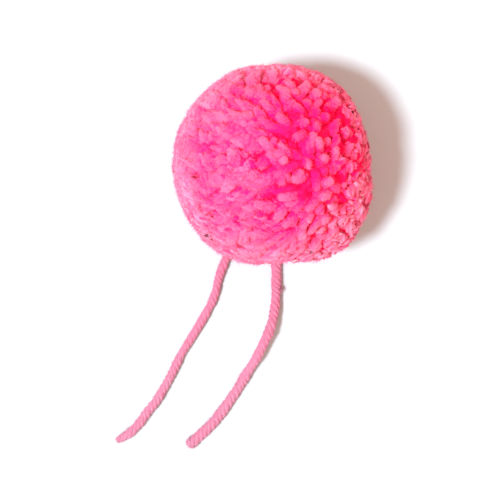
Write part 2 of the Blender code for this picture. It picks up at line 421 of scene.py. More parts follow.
def yarnMaterial(name, groups, finish):
    material = bpy.data.materials.new(name)
    material.use_nodes = True
    tree = material.node_tree
    shader = tree.nodes["Principled BSDF"]
    run = put(tree, "ShaderNodeAttribute", attribute_name="yarnRun").outputs["Vector"]
    look = {}
    for label in ("tint", "bloom", "depthLight", "hollowShade", "soft", "sheenAndPale"):
        look[label] = put(tree, "ShaderNodeAttribute", attribute_name=label).outputs["Fac"]
    twist = put(tree, "ShaderNodeGroup", node_tree=groups["twist"])
    feed(tree, run, twist.inputs["Run"])
    feed(tree, finish["turns"], twist.inputs["Turns"])
    fibres = put(tree, "ShaderNodeGroup", node_tree=groups["fibres"])
    wanted = {"Run": run, "Fineness": finish["fineness"], "Stretch": finish["stretch"], "Shift": look["tint"]}
    for label, value in wanted.items():
        feed(tree, value, fibres.inputs[label])
    look["hairs"] = fibres.outputs["Hairs"]
    look["cloud"] = fibres.outputs["Cloud"]
    # the twist opens out where the yarn is cut
    held = calc(tree, "SUBTRACT", 1.0, look["bloom"])
    opened = calc(tree, "MULTIPLY", look["bloom"], toneValues["bloomRidge"])
    look["ridge"] = calc(tree, "ADD", calc(tree, "MULTIPLY", twist.outputs["Ridge"], held), opened)

    # painted shade: the sides of each yarn, which face across the ball rather than out of it, are painted
    # deeper, as if shaded by their neighbours
    plain = put(tree, "ShaderNodeNewGeometry").outputs["Normal"]
    objectPlace = put(tree, "ShaderNodeTexCoord").outputs["Object"]
    outward = vec(tree, "SUBTRACT", objectPlace, (0.0, 0.0, ballValues["Middle Height"]))
    outward = vec(tree, "NORMALIZE", outward)
    side = ramp(tree, vec(tree, "DOT_PRODUCT", plain, outward), 0.85, 0.0, 0.0, finish["sideShadeDepth"])
    colour = mixed(tree, yarnTone(tree, look, objectPlace, side), finish["deep"], finish["bright"])
    # painted sheen: the pale colour is mixed in by the sheen-and-pale mask, more on the open ends of yarn
    # near the outside, less on yarn deeper in
    lightened = calc(tree, "MULTIPLY", look["bloom"], look["depthLight"])
    lightened = calc(tree, "MULTIPLY_ADD", lightened, toneValues["paleEnd"], toneValues["paleYarn"])
    lightened = calc(tree, "MULTIPLY", look["sheenAndPale"], lightened)
    tree.links.new(mixed(tree, lightened, colour, yarnColours["pale"]), shader.inputs["Base Color"])

    # loose fibres carry light round the yarn, so its shading is softer than its shape
    softer = calc(tree, "MULTIPLY_ADD", look["soft"], finish["softness"], finish["softness"])
    facing = vec(tree, "NORMALIZE", vec(tree, "ADD", plain, vec(tree, "SCALE", outward, scale=softer)))
    hairs = calc(tree, "MULTIPLY", look["hairs"], surfaceValues["hairHeight"])
    height = calc(tree, "MULTIPLY_ADD", look["ridge"], finish["plyDepth"], hairs)
    relief = {"Height": height, "Distance": surfaceValues["bumpDistance"],
              "Strength": surfaceValues["bumpStrength"], "Normal": facing}
    bump = put(tree, "ShaderNodeBump", relief)
    tree.links.new(bump.outputs["Normal"], shader.inputs["Normal"])
    rough = ramp(tree, look["hairs"], 0.0, 1.0, surfaceValues["roughest"], surfaceValues["smoothest"])
    tree.links.new(rough, shader.inputs["Roughness"])
    shader.inputs["Specular IOR Level"].default_value = surfaceValues["shine"]
    shader.inputs["Sheen Weight"].default_value = finish["sheen"]
    shader.inputs["Sheen Roughness"].default_value = surfaceValues["sheenRoughness"]
    shader.inputs["Sheen Tint"].default_value = yarnColours["sheen"]
    # painted glow: the middle gives off red light, standing in for light bounced between the yarns deep in
    # the ball
    shader.inputs["Emission Color"].default_value = yarnColours["inside"]
    shader.inputs["Emission Strength"].default_value = finish["inside"]
    return material


def fuzzMaterial(name, groups, deep, bright):
    material = bpy.data.materials.new(name)
    material.use_nodes = True
    tree = material.node_tree
    shader = tree.nodes["Principled BSDF"]
    run = put(tree, "ShaderNodeAttribute", attribute_name="yarnRun").outputs["Vector"]
    fibres = put(tree, "ShaderNodeGroup", node_tree=groups["fibres"])
    feed(tree, run, fibres.inputs["Run"])
    tree.links.new(mixed(tree, fibres.outputs["Cloud"], deep, bright), shader.inputs["Base Color"])
    shader.inputs["Roughness"].default_value = surfaceValues["fuzzRoughness"]
    shader.inputs["Specular IOR Level"].default_value = surfaceValues["shine"]
    return material


# the ball of cut yarn

ballValues = {
    "Spacing": 0.089,           # between neighbouring yarn ends, as a share of the ball's radius
    "Ball Radius": 0.0322,
    "Middle Height": 0.0303,
    "Root Radius": 0.0215,
    "Yarn Radius": 0.00166,
    "Turns": 1.5,               # twist along the part of the yarn that shows
    "Tufts": 0.0055,            # how far tips gather into tufts
    "Tuft Scale": 6.0,
    "Big Lean": 0.0120,         # how far whole areas lean
    "Lean Scale": 1.8,
    "Own Lean": 0.0042,         # how far each yarn leans by itself
    "Gap Push": 0.0013,         # how far tips stand back from a gap
    "Gap Depth": 0.0034,
    "Gap Spread": 0.125,
    "Deepest": 0.0034,          # no hollow goes further in than this
    "Parting Lean": 0.0088,     # how far tips fall away from the parting
    "Sideways": 0.0050,
    "Length Jitter": 0.0050,
    "Cut Jitter": 0.0007,       # how unevenly the scissors went round
    "Hollows": 0.0090,
    "Hollow Scale": 5.0,
    "Stray": 0.0006,            # how far an open ply strays from its yarn
    "Lumps": 0.0004,
    "Lump Scale": 700.0,
    "Table Gap": 0.0003,
    "Lowest": 0.0002,
    "Seed": 4,
}

# the lower half has fewer and fuller yarns
lowerValues = {"Upper": 0.0, "Spacing": 0.103, "Yarn Radius": 0.00210, "Hollows": 0.0030}

# the yarn falls away on all sides of this spot, a direction from the ball's middle
partingPlace = (0.298, 0.089, 0.950)

# the cut ends round the first one are the palest, and those round the second one, low on the lit left side,
# get more painted sheen and light than most
palePlace = (0.665, -0.595, 0.452)
litSidePlace = (-0.7, -0.7, 0.14)

# where the cut yarn opens up and shows its depth, on the top of the ball, in millimetres from its middle
gapPlaces = [
    (-7.3, 5.6), (-13.5, -2.9), (3.1, 19.7), (18.0, 17.2), (12.0, 15.5),
    (10.2, 5.2), (19.3, -1.6), (9.2, -7.6), (13.0, -17.0),
    (22.5, 6.0), (21.0, -11.0), (-18.0, 12.0), (-6.5, -20.0), (-22.0, 4.0), (-3.0, 22.5),
]

# more of them underneath, wherever there is room
lowGaps = {"count": 32, "highest": -0.3, "apart": 0.25, "seed": 7}


def gapMesh():
    rng = random.Random(lowGaps["seed"])
    radius = ballValues["Ball Radius"]
    places = []
    for x, y in gapPlaces:
        across = Vector((x / 1000.0, y / 1000.0))
        places.append(Vector((*across, math.sqrt(radius ** 2 - across.length ** 2))) / radius)
    while len(places) < lowGaps["count"]:
        spot = Vector((rng.gauss(0, 1), rng.gauss(0, 1), rng.gauss(0, 1))).normalized()
        nearest = min((spot - other).length for other in places)
        if spot.z < lowGaps["highest"] and nearest > lowGaps["apart"]:
            places.append(spot)
    mesh = bpy.data.meshes.new("gapPlaces")
    mesh.from_pydata(places, [], [])
    return mesh


# where the clipped ball stands out from a true sphere, in degrees and metres
outlineLobes = [
    {"round": 50.0, "up": 0.0, "bump": 0.0010, "spread": 22.0},
    {"round": 241.0, "up": -5.0, "bump": 0.0017, "spread": 26.0},
    {"round": 302.0, "up": -5.0, "bump": 0.0041, "spread": 16.0},
    {"round": 327.0, "up": -5.0, "bump": 0.0034, "spread": 17.0},
    {"round": 18.0, "up": 10.0, "bump": -0.0006, "spread": 12.0},
    {"round": 98.0, "up": 0.0, "bump": -0.0005, "spread": 16.0},
    {"round": 140.0, "up": 0.0, "bump": -0.0006, "spread": 18.0},
    {"round": 300.0, "up": 62.0, "bump": 0.0007, "spread": 30.0},
]

lobeFade = 1.7                  # a lobe is gone this many spreads from its middle


def clippedReach(tree, radius, ray):
    # how far out the clipped ball goes in this direction
    reach = radius
    for lobe in outlineLobes:
        toward = direction(lobe["round"], lobe["up"])
        angle = calc(tree, "ARCCOSINE", vec(tree, "DOT_PRODUCT", ray, toward))
        bump = ramp(tree, angle, 0.0, math.radians(lobe["spread"] * lobeFade), lobe["bump"], 0.0)
        reach = calc(tree, "ADD", reach, bump)
    return reach


def drifting(tree, ray, scale, size):
    # a push that changes slowly over the ball
    push = vec(tree, "SUBTRACT", noise(tree, ray, scale, 1.0)["Color"], (0.5, 0.5, 0.5))
    return vec(tree, "SCALE", push, scale=size)


def tipDirections(tree, given, ray):
    # tips gather in tufts and stand back from the gaps
    nearest = put(tree, "GeometryNodeSampleNearest", {"Geometry": given["Geometry"], "Sample Position": ray})
    inputs = {"Geometry": given["Geometry"], "Index": nearest.outputs["Index"]}
    gap = put(tree, "GeometryNodeSampleIndex", inputs, data_type="FLOAT_VECTOR")
    feed(tree, position(tree), gap.inputs["Value"])
    away = vec(tree, "SUBTRACT", ray, gap.outputs["Value"])
    inGap = ramp(tree, vec(tree, "LENGTH", away), 0.0, given["Gap Spread"], 1.0, 0.0)
    aside = calc(tree, "MULTIPLY", inGap, given["Gap Push"])
    aside = vec(tree, "SCALE", vec(tree, "NORMALIZE", away), scale=aside)
    push = vec(tree, "ADD", drifting(tree, ray, given["Tuft Scale"], given["Tufts"]), aside)
    tipRay = vec(tree, "ADD", vec(tree, "SCALE", ray, scale=given["Ball Radius"]), push)
    return vec(tree, "NORMALIZE", tipRay), inGap


def rootDirections(tree, given, ray, fromParting, partingFar):
    # the other end starts nearer the parting, so the yarn leans away from it
    at = parts(tree, ray)
    fall = ramp(tree, vec(tree, "LENGTH", fromParting), 0.0, 0.9, 0.0, given["Parting Lean"], smooth=False)
    fall = calc(tree, "MULTIPLY", fall, ramp(tree, at["Z"], -0.6, 0.2, 0.35, 1.0))
    fall = calc(tree, "MULTIPLY", fall, ramp(tree, at["X"], -0.1, 0.85, 1.0, -0.3))
    lean = vec(tree, "SCALE", vec(tree, "NORMALIZE", fromParting), scale=fall)
    # low on one side the yarn lies over to the left
    sideways = ramp(tree, at["Y"], 0.1, -0.4, 0.0, given["Sideways"])
    sideways = calc(tree, "MULTIPLY", sideways, ramp(tree, at["X"], -0.3, 0.1, 0.2, 1.0))
    lean = vec(tree, "ADD", lean, vec(tree, "SCALE", (-1.0, 0.0, 0.0), scale=sideways))
    lean = vec(tree, "ADD", lean, drifting(tree, ray, given["Lean Scale"], given["Big Lean"]))
    ownLean = calc(tree, "MULTIPLY", given["Own Lean"], ramp(tree, partingFar, 0.0, 1.0, 1.7, 1.0))
    lean = vec(tree, "ADD", lean, vec(tree, "SCALE", chanceWay(tree, 1.0, seed=11), scale=ownLean))
    rootRay = vec(tree, "SUBTRACT", vec(tree, "SCALE", ray, scale=given["Ball Radius"]), lean)
    return vec(tree, "NORMALIZE", rootRay)


def cutEnds(tree, given, tipRay, partingFar, inGap):
    # how far out the scissors leave each tip, how far it ends up, and how deep it is sunk
    reach = clippedReach(tree, given["Ball Radius"], tipRay)
    clipped = calc(tree, "SUBTRACT", reach, chance(tree, 0.0, given["Cut Jitter"], seed=13))
    up = parts(tree, tipRay)["Z"]
    trimmed = ramp(tree, calc(tree, "ABSOLUTE", up), 0.1, 0.5, 0.25, 1.0)
    evenness = ramp(tree, partingFar, 0.0, 1.0, 1.0, 2.0)
    jitter = calc(tree, "POWER", chance(tree, 0.0, 1.0, seed=12), evenness)
    jitter = calc(tree, "MULTIPLY", jitter, given["Length Jitter"])
    reach = calc(tree, "SUBTRACT", reach, calc(tree, "MULTIPLY", jitter, trimmed))
    hollow = calc(tree, "SUBTRACT", noise(tree, tipRay, given["Hollow Scale"], 1.0)["Fac"], 0.48)
    hollow = calc(tree, "MULTIPLY", calc(tree, "MAXIMUM", hollow, 0.0), given["Hollows"])
    sunk = calc(tree, "MULTIPLY_ADD", hollow, trimmed, calc(tree, "MULTIPLY", inGap, given["Gap Depth"]))
    reach = calc(tree, "SUBTRACT", reach, calc(tree, "MINIMUM", sunk, given["Deepest"]))
    # underneath, the table stops it
    down = calc(tree, "MAXIMUM", calc(tree, "MULTIPLY", up, -1.0), 0.001)
    table = calc(tree, "DIVIDE", calc(tree, "SUBTRACT", given["Middle Height"], given["Table Gap"]), down)
    return clipped, calc(tree, "MINIMUM", reach, table), sunk


def yarnSheenAndPale(tree, ray, atSide):
    # how pale each cut end is, partly painted light: a painted sheen round the rim, more on the lit lower
    # left and less on the shaded right and at the bottom, plus paler ends at random on the right rim and on a
    # few near the pale place
    at = parts(tree, ray)
    sheenAndPale = ramp(tree, calc(tree, "ABSOLUTE", at["Z"]), 0.62, 0.12, 0.0, 1.0)
    sheenAndPale = calc(tree, "MULTIPLY", sheenAndPale, ramp(tree, at["X"], 0.3, 0.8, 1.0, 0.5))
    sheenAndPale = calc(tree, "MULTIPLY", sheenAndPale, ramp(tree, at["Y"], -0.3, -0.8, 1.0, 0.85))
    litSide = ramp(tree, vec(tree, "DOT_PRODUCT", ray, litSidePlace), 0.6, 0.95, 1.0, 1.4)
    sheenAndPale = calc(tree, "MULTIPLY", sheenAndPale, litSide)
    sheenAndPale = calc(tree, "MULTIPLY_ADD", atSide, chance(tree, 0.0, 0.4, seed=19), sheenAndPale)
    paleEnds = ramp(tree, vec(tree, "DOT_PRODUCT", ray, palePlace), 0.84, 0.96, 0.0, 1.0)
    return calc(tree, "MULTIPLY_ADD", paleEnds, chance(tree, 0.0, 0.75, seed=22), sheenAndPale)


def yarnHabits(tree, ray, partingFar):
    # what each yarn is like: loose and thick on the left, frayed on the right and round the rim
    at = parts(tree, ray)
    level = calc(tree, "ABSOLUTE", at["Z"])
    soft = ramp(tree, at["X"], 0.05, -0.45, 0.0, 1.0)
    girth = ramp(tree, partingFar, 0.0, 1.0, 0.95, 1.0)
    girth = calc(tree, "MULTIPLY", chance(tree, 0.86, 1.12, seed=15), girth)
    girth = calc(tree, "MULTIPLY", girth, ramp(tree, soft, 0.0, 1.0, 1.0, 1.40, smooth=False))
    girth = calc(tree, "MULTIPLY", girth, ramp(tree, at["Z"], 0.6, 0.2, 1.0, 1.12))
    atSide = ramp(tree, at["X"], 0.5, 0.8, 0.0, 0.9)
    frayed = calc(tree, "ADD", atSide, ramp(tree, level, 0.55, 0.15, 0.0, 0.6))
    frayed = calc(tree, "ADD", noise(tree, ray, 2.5, 1.0)["Fac"], frayed)
    frayed = calc(tree, "MAXIMUM", ramp(tree, frayed, 0.6, 1.2, 0.0, 1.0), calc(tree, "MULTIPLY", soft, 0.9))
    return {
        "tint": chance(tree, 0.0, 1.0, seed=14),
        "soft": soft,
        "twisty": ramp(tree, at["Y"], -0.25, -0.7, 0.0, 1.0),
        "girth": girth,
        "turn": chance(tree, 0.0, 1.0, seed=16),
        "frayed": frayed,
        "sheenAndPale": yarnSheenAndPale(tree, ray, atSide),
    }


def plyPoints(tree, points):
    # each ply has its own place round the yarn, its own tint and its own share of the painted sheen and
    # paleness
    inputs = {"Geometry": points, "Amount": pliesPerYarn}
    plies = put(tree, "GeometryNodeDuplicateElements", inputs, domain="POINT")
    turn = calc(tree, "DIVIDE", plies.outputs["Duplicate Index"], float(pliesPerYarn))
    turn = calc(tree, "ADD", turn, kept(tree, "turn"))
    points = keep(tree, plies.outputs["Geometry"], "turn", turn)
    points = keep(tree, points, "stray", chanceWay(tree, 1.0, seed=17), "FLOAT_VECTOR")
    ownTint = calc(tree, "MULTIPLY", chance(tree, -0.9, 0.9, seed=18), kept(tree, "frayed"))
    points = keep(tree, points, "tint", calc(tree, "ADD", ownTint, kept(tree, "tint")))
    ownSheenAndPale = calc(tree, "MULTIPLY", kept(tree, "sheenAndPale"), chance(tree, 0.1, 2.1, seed=20))
    return keep(tree, points, "sheenAndPale", ownSheenAndPale)


def yarnLine(tree, along):
    # the middle line of a yarn and the way it runs, from its root past its bend to its tip
    start = kept(tree, "root", "FLOAT_VECTOR")
    middle = kept(tree, "bend", "FLOAT_VECTOR")
    end = kept(tree, "tip", "FLOAT_VECTOR")
    back = calc(tree, "SUBTRACT", 1.0, along)
    between = calc(tree, "MULTIPLY", calc(tree, "MULTIPLY", back, along), 2.0)
    line = vec(tree, "SCALE", start, scale=calc(tree, "MULTIPLY", back, back))
    line = vec(tree, "ADD", line, vec(tree, "SCALE", middle, scale=between))
    line = vec(tree, "ADD", line, vec(tree, "SCALE", end, scale=calc(tree, "MULTIPLY", along, along)))
    ahead = vec(tree, "SCALE", vec(tree, "SUBTRACT", middle, start), scale=back)
    ahead = vec(tree, "ADD", ahead, vec(tree, "SCALE", vec(tree, "SUBTRACT", end, middle), scale=along))
    return line, vec(tree, "NORMALIZE", ahead)


def plyOffset(tree, given, here, level, along, ahead):
    # how far a spot on a ply is from the middle line: the twist, the opening end and the ply's own thickness
    size = calc(tree, "MULTIPLY", given["Yarn Radius"], kept(tree, "girth"))
    opening = curve(tree, along, [(0.0, 0.0), (0.6, 0.1), (1.0, 1.0)])
    opening = calc(tree, "MULTIPLY", kept(tree, "frayed"), opening)
    closing = curve(tree, along, [(0.0, 0.34), (0.75, 0.33), (1.0, 0.20)])
    loose = calc(tree, "MULTIPLY", kept(tree, "twisty"), 0.10)
    apart = calc(tree, "ADD", loose, calc(tree, "MULTIPLY_ADD", opening, 0.50, closing))
    apart = calc(tree, "MULTIPLY", size, apart)
    turned = calc(tree, "MULTIPLY_ADD", along, given["Turns"], kept(tree, "turn"))
    angle = calc(tree, "MULTIPLY", turned, math.tau)
    wide = curve(tree, level, [(0.0, 1.0), (0.45, 0.94), (0.7, 0.70), (0.86, 0.54), (1.0, 0.30)])
    thick = calc(tree, "SUBTRACT", calc(tree, "MULTIPLY_ADD", opening, -0.30, 0.70), loose)
    thick = calc(tree, "MULTIPLY", calc(tree, "MULTIPLY", size, thick), calc(tree, "MULTIPLY", wide, 1.5))
    side, over = crossways(tree, ahead)
    plyX = calc(tree, "MULTIPLY", calc(tree, "COSINE", angle), apart)
    plyY = calc(tree, "MULTIPLY", calc(tree, "SINE", angle), apart)
    sideways = vec(tree, "SCALE", side, scale=calc(tree, "MULTIPLY_ADD", here["X"], thick, plyX))
    upwards = vec(tree, "SCALE", over, scale=calc(tree, "MULTIPLY_ADD", here["Y"], thick, plyY))
    offset = vec(tree, "ADD", sideways, upwards)
    stray = calc(tree, "MULTIPLY_ADD", opening, given["Stray"], 0.0001)
    return vec(tree, "ADD", offset, vec(tree, "SCALE", kept(tree, "stray", "FLOAT_VECTOR"), scale=stray))


def bentPlies(tree, given, points):
    # one tube for each ply, bent into place
    sizes = {"Vertices": 5, "Side Segments": 7, "Radius": 1.0, "Depth": 1.0}
    tube = put(tree, "GeometryNodeMeshCylinder", sizes, fill_type="TRIANGLE_FAN")
    yarn = repeated(tree, points, tube.outputs["Mesh"])
    here = parts(tree, position(tree))
    level = calc(tree, "ADD", here["Z"], 0.5)
    closer = [(0.0, 0.0), (0.25, 0.32), (0.5, 0.62), (0.75, 0.88), (0.875, 0.965), (1.0, 1.0)]
    along = curve(tree, level, closer)
    line, ahead = yarnLine(tree, along)
    yarn = keep(tree, yarn, "yarnRun", xyz(tree, here["X"], here["Y"], along), "FLOAT_VECTOR")
    deep = calc(tree, "DIVIDE", vec(tree, "LENGTH", line), given["Ball Radius"])
    # painted shade by depth: yarn is painted deeper the further it lies inside the ball
    yarn = keep(tree, yarn, "depthLight", ramp(tree, deep, 0.85, 1.0, 0.0, 1.0, smooth=False))
    yarn = keep(tree, yarn, "bloom", curve(tree, along, [(0.0, 0.0), (0.5, 0.1), (0.9, 0.75), (1.0, 1.0)]))
    yarn = keep(tree, yarn, "grow", ahead, "FLOAT_VECTOR")
    line = vec(tree, "ADD", line, plyOffset(tree, given, here, level, along, ahead))
    # nothing stands out past the scissors
    past = calc(tree, "DIVIDE", kept(tree, "clipped"), vec(tree, "LENGTH", line))
    line = vec(tree, "SCALE", line, scale=calc(tree, "MINIMUM", past, 1.0))
    line = vec(tree, "ADD", line, xyz(tree, 0.0, 0.0, given["Middle Height"]))
    return moved(tree, yarn, line)


def ballTree(values):
    tree, given = newTree("yarnEnds", values)
    ball = put(tree, "GeometryNodeMeshIcoSphere", {"Radius": 1.0, "Subdivisions": 6})
    ray = vec(tree, "NORMALIZE", position(tree))
    fromParting = vec(tree, "SUBTRACT", ray, partingPlace)
    partingFar = ramp(tree, vec(tree, "LENGTH", fromParting), 0.25, 1.0, 0.0, 1.0)
    inputs = {"Mesh": ball.outputs["Mesh"], "Distance Min": given["Spacing"], "Density Max": 1600.0,
              "Seed": given["Seed"]}
    spread = put(tree, "GeometryNodeDistributePointsOnFaces", inputs, distribute_method="POISSON")
    points = spread.outputs["Points"]

    # half the ball a piece
    upper = calc(tree, "GREATER_THAN", parts(tree, ray)["Z"], 0.0)
    other = calc(tree, "ABSOLUTE", calc(tree, "SUBTRACT", upper, given["Upper"]))
    other = calc(tree, "GREATER_THAN", other, 0.5)
    half = put(tree, "GeometryNodeDeleteGeometry", {"Geometry": points, "Selection": other})
    points = half.outputs["Geometry"]

    tipRay, inGap = tipDirections(tree, given, ray)
    rootRay = rootDirections(tree, given, ray, fromParting, partingFar)
    clipped, reach, sunk = cutEnds(tree, given, tipRay, partingFar, inGap)
    bendRay = vec(tree, "ADD", vec(tree, "SCALE", rootRay, scale=0.8), vec(tree, "SCALE", tipRay, scale=0.2))
    shows = calc(tree, "SUBTRACT", reach, given["Root Radius"])
    bendReach = calc(tree, "MULTIPLY_ADD", shows, 0.86, given["Root Radius"])
    places = {
        "root": vec(tree, "SCALE", rootRay, scale=given["Root Radius"]),
        "bend": vec(tree, "SCALE", vec(tree, "NORMALIZE", bendRay), scale=bendReach),
        "tip": vec(tree, "SCALE", tipRay, scale=reach),
    }
    points = keepAll(tree, points, places, "FLOAT_VECTOR")
    points = keep(tree, points, "clipped", clipped)
    # painted shade in hollows: the further a tip is sunk, the deeper it is painted
    points = keep(tree, points, "hollowShade", ramp(tree, sunk, 0.0, given["Deepest"], 0.0, 1.0))
    points = keepAll(tree, points, yarnHabits(tree, ray, partingFar))
    yarn = bentPlies(tree, given, plyPoints(tree, points))

    # small lumps, and nothing under the table
    place = lumpy(tree, position(tree), given["Lump Scale"], 1.0, given["Lumps"])
    yarn = moved(tree, yarn, aboveTable(tree, place, given["Lowest"]))
    yarn = forget(tree, yarn, "root", "bend", "tip", "girth", "turn", "stray", "frayed", "twisty", "clipped")
    endTree(tree, yarn, given["Material"])
    return tree


# sizes here are shares of the clipped ball
middleValues = {
    "Ball Radius": ballValues["Ball Radius"],
    "Middle Height": ballValues["Middle Height"],
    "Smallest": 0.82,
    "Largest": 0.93,
    "Rim Extra": 0.035,
    "Rim Least": 0.920,
    "Lump Scale": 10.0,
    "Grain": 14.0,
    "Shown": 0.68,              # the painted depth shade of the whole middle, the same as on yarn this far inside
}


def middleTree(values):
    tree, given = newTree("tiedMiddle", values)
    ball = put(tree, "GeometryNodeMeshIcoSphere", {"Radius": 1.0, "Subdivisions": 6})
    where = position(tree)
    level = calc(tree, "ABSOLUTE", parts(tree, where)["Z"])
    lumps = noise(tree, where, given["Lump Scale"], 2.0)["Fac"]
    size = ramp(tree, lumps, 0.3, 0.7, given["Smallest"], given["Largest"])
    size = calc(tree, "ADD", size, ramp(tree, level, 0.75, 0.3, 0.0, given["Rim Extra"]))
    size = calc(tree, "MAXIMUM", size, ramp(tree, level, 0.7, 0.3, 0.0, given["Rim Least"]))
    size = calc(tree, "MULTIPLY", size, clippedReach(tree, given["Ball Radius"], where))
    grain = vec(tree, "SCALE", where, scale=given["Grain"])
    shape = keep(tree, ball.outputs["Mesh"], "yarnRun", grain, "FLOAT_VECTOR")
    shape = keep(tree, shape, "depthLight", given["Shown"])
    lift = xyz(tree, 0.0, 0.0, given["Middle Height"])
    shape = moved(tree, shape, vec(tree, "ADD", vec(tree, "SCALE", where, scale=size), lift))
    endTree(tree, shape, given["Material"])
    return tree


# loose fibres on the yarn

# a small tuft of fibres sticks out of the right tie end here
snagPlace = (0.0033, -0.0412, 0.0020)
snagValues = {"within": 0.0003, "gone": 0.0012, "denser": 14.0, "longer": 1.2}

# yarn counts from firm, 0, to soft, 1, and Base is the share of fibres along the yarn away from its cut end
fuzzValues = {
    "upperFuzz": {"Density": 1.8e6, "Length": 0.0010, "Thickness": 0.00006, "Outward": 0.8, "Seed": 21,
                  "Base": 0.0, "Softer Than": -1.0, "Firmer Than": 0.3},
    "softFuzz": {"Density": 3.3e6, "Length": 0.0012, "Thickness": 0.00006, "Outward": 0.4, "Seed": 24,
                 "Base": 0.0, "Softer Than": 0.3, "Firmer Than": 2.0},
    "lowerFuzz": {"Density": 1.2e6, "Length": 0.0016, "Thickness": 0.00006, "Outward": 1.0, "Seed": 22,
                  "Base": 0.0, "Softer Than": -1.0, "Firmer Than": 2.0},
    "tieFuzz": {"Density": 6.0e6, "Length": 0.0010, "Thickness": 0.00005, "Outward": 0.8, "Seed": 23,
                "Base": 0.5, "Softer Than": -1.0, "Firmer Than": 2.0},
}

fuzzLowest = 0.00005


def fibreDensity(tree, given, tuft):
    soft = kept(tree, "soft")
    atEnd = ramp(tree, kept(tree, "bloom"), 0.0, 0.5, given["Base"], 1.0)
    density = calc(tree, "MULTIPLY", given["Density"], atEnd)
    density = calc(tree, "MULTIPLY", density, ramp(tree, kept(tree, "depthLight"), 0.45, 0.85, 0.0, 1.0))
    density = calc(tree, "MULTIPLY", density, calc(tree, "GREATER_THAN", soft, given["Softer Than"]))
    density = calc(tree, "MULTIPLY", density, calc(tree, "LESS_THAN", soft, given["Firmer Than"]))
    return calc(tree, "MULTIPLY", density, calc(tree, "MULTIPLY_ADD", tuft, snagValues["denser"], 1.0))


def fuzzTree(values):
    tree, given = newTree("looseFibres", values)
    snagFar = vec(tree, "DISTANCE", position(tree), snagPlace)
    tuft = ramp(tree, snagFar, snagValues["gone"], snagValues["within"], 0.0, 1.0)
    inputs = {"Mesh": given["Geometry"], "Seed": given["Seed"], "Density": fibreDensity(tree, given, tuft)}
    spread = put(tree, "GeometryNodeDistributePointsOnFaces", inputs, distribute_method="RANDOM").outputs
    away = vec(tree, "SCALE", kept(tree, "grow", "FLOAT_VECTOR"), scale=given["Outward"])
    away = vec(tree, "ADD", away, chanceWay(tree, 1.0, seed=31))
    longer = calc(tree, "MULTIPLY_ADD", tuft, snagValues["longer"], 1.0)
    ways = {"reach": vec(tree, "ADD", away, spread["Normal"]), "from": position(tree),
            "curl": chanceWay(tree, 0.5, seed=32)}
    points = keepAll(tree, spread["Points"], ways, "FLOAT_VECTOR")
    points = keep(tree, points, "long", calc(tree, "MULTIPLY", chance(tree, 0.35, 1.0, seed=33), longer))

    # one thin cone for each fibre, curled a little
    sizes = {"Vertices": 3, "Side Segments": 1, "Radius Top": 0.0, "Radius Bottom": 1.0, "Depth": 1.0}
    cone = put(tree, "GeometryNodeMeshCone", sizes, fill_type="NGON")
    hair = repeated(tree, points, cone.outputs["Mesh"])
    here = parts(tree, position(tree))
    ahead = vec(tree, "NORMALIZE", kept(tree, "reach", "FLOAT_VECTOR"))
    side, over = crossways(tree, ahead)
    bowed = calc(tree, "MULTIPLY", here["Z"], here["Z"])
    curl = vec(tree, "SCALE", kept(tree, "curl", "FLOAT_VECTOR"), scale=bowed)
    line = vec(tree, "ADD", vec(tree, "SCALE", ahead, scale=here["Z"]), curl)
    line = vec(tree, "SCALE", line, scale=calc(tree, "MULTIPLY", given["Length"], kept(tree, "long")))
    across = vec(tree, "SCALE", side, scale=here["X"])
    across = vec(tree, "ADD", across, vec(tree, "SCALE", over, scale=here["Y"]))
    line = vec(tree, "ADD", line, vec(tree, "SCALE", across, scale=given["Thickness"]))
    place = vec(tree, "ADD", line, kept(tree, "from", "FLOAT_VECTOR"))
    hair = moved(tree, hair, aboveTable(tree, place, fuzzLowest))
    hair = forget(tree, hair, "reach", "from", "curl", "long", "grow")
    endTree(tree, hair, given["Material"])
    return tree


# the two tie ends

tieValues = {
    "Ply Radius": 0.00091,
    "Ply Offset": 0.00058,
    "Twist Pitch": -0.0076,     # below zero it winds the other way
    "Twist Drift": 2.4,
    "Step": 0.00042,
    "Unevenness": 0.60,
    "Uneven Scale": 160.0,
    "Lumps": 0.0006,
    "Lump Scale": 420.0,
    "Lowest": 0.0001,
}

tieShapes = {
    "tieEndLeft": {"Fullness": 1.10, "End Size": 0.66, "Tapered": 0.05},
    "tieEndRight": {"Fullness": 1.28, "End Size": 0.95, "Tapered": 0.03},
}

